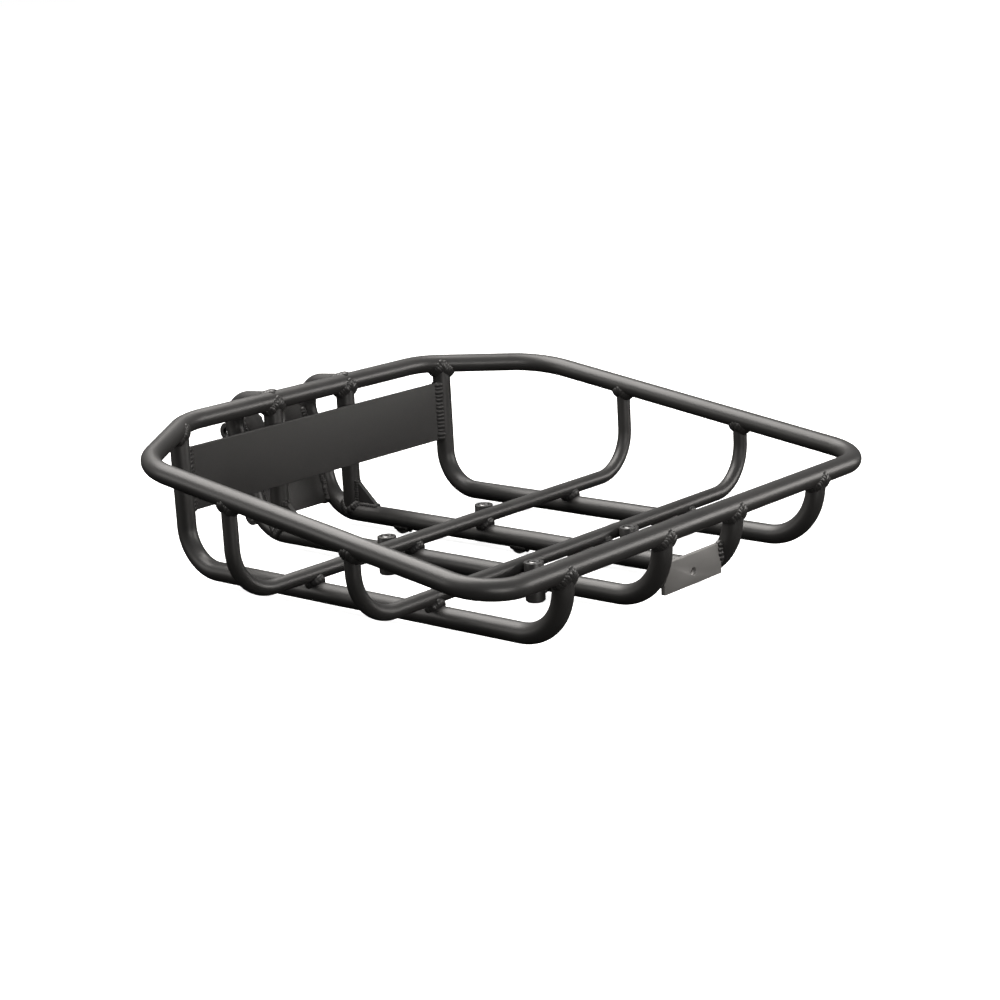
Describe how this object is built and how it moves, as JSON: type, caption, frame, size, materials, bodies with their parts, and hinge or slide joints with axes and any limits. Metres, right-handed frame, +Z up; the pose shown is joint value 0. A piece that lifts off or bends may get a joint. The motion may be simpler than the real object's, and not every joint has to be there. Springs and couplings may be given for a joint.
{
  "type": "bicycle front basket rack",
  "caption": "Shallow welded tube cargo basket for a bicycle's front: sloped six-sided rim, bent floor rails, rear plate, leaning mounting bracket and lamp plate.",
  "frame": {"origin": "under the middle of the basket, at the height of the boss feet", "axes": "+X across the basket, +Y to its rear, towards the bicycle, +Z up"},
  "size_m": [0.492, 0.4824, 0.1352],
  "materials": {
    "tube_coat": "satin black powder coat on aluminium tube",
    "plate_coat": "satin black powder coat on aluminium plate",
    "screw_steel": "dull zinc-plated steel"
  },
  "bodies": {
    "root": {"rim_tube": "tube_coat", "outer_rail_left": "tube_coat", "outer_rail_right": "tube_coat", "inner_rail_left": "tube_coat", "inner_rail_right": "tube_coat", "rear_post_left": "tube_coat", "rear_post_right": "tube_coat", "cross_tube_rear": "tube_coat", "cross_tube_front": "tube_coat", "boss_rear_left": "tube_coat", "boss_rear_right": "tube_coat", "boss_front_left": "tube_coat", "boss_front_right": "tube_coat", "rear_plate": "plate_coat", "bracket_plate": "plate_coat", "lamp_plate": "plate_coat", "rail_tab_rear": "plate_coat", "rail_tab_front": "plate_coat", "gusset_left": "plate_coat", "gusset_right": "plate_coat", "mount_lug_upper_left": "plate_coat", "mount_lug_upper_right": "plate_coat", "mount_lug_lower_left": "plate_coat", "mount_lug_lower_right": "plate_coat", "boss_screw_rear_left": "screw_steel", "boss_screw_rear_right": "screw_steel", "boss_screw_front_left": "screw_steel", "boss_screw_front_right": "screw_steel"}
  },
  "joints": []
}
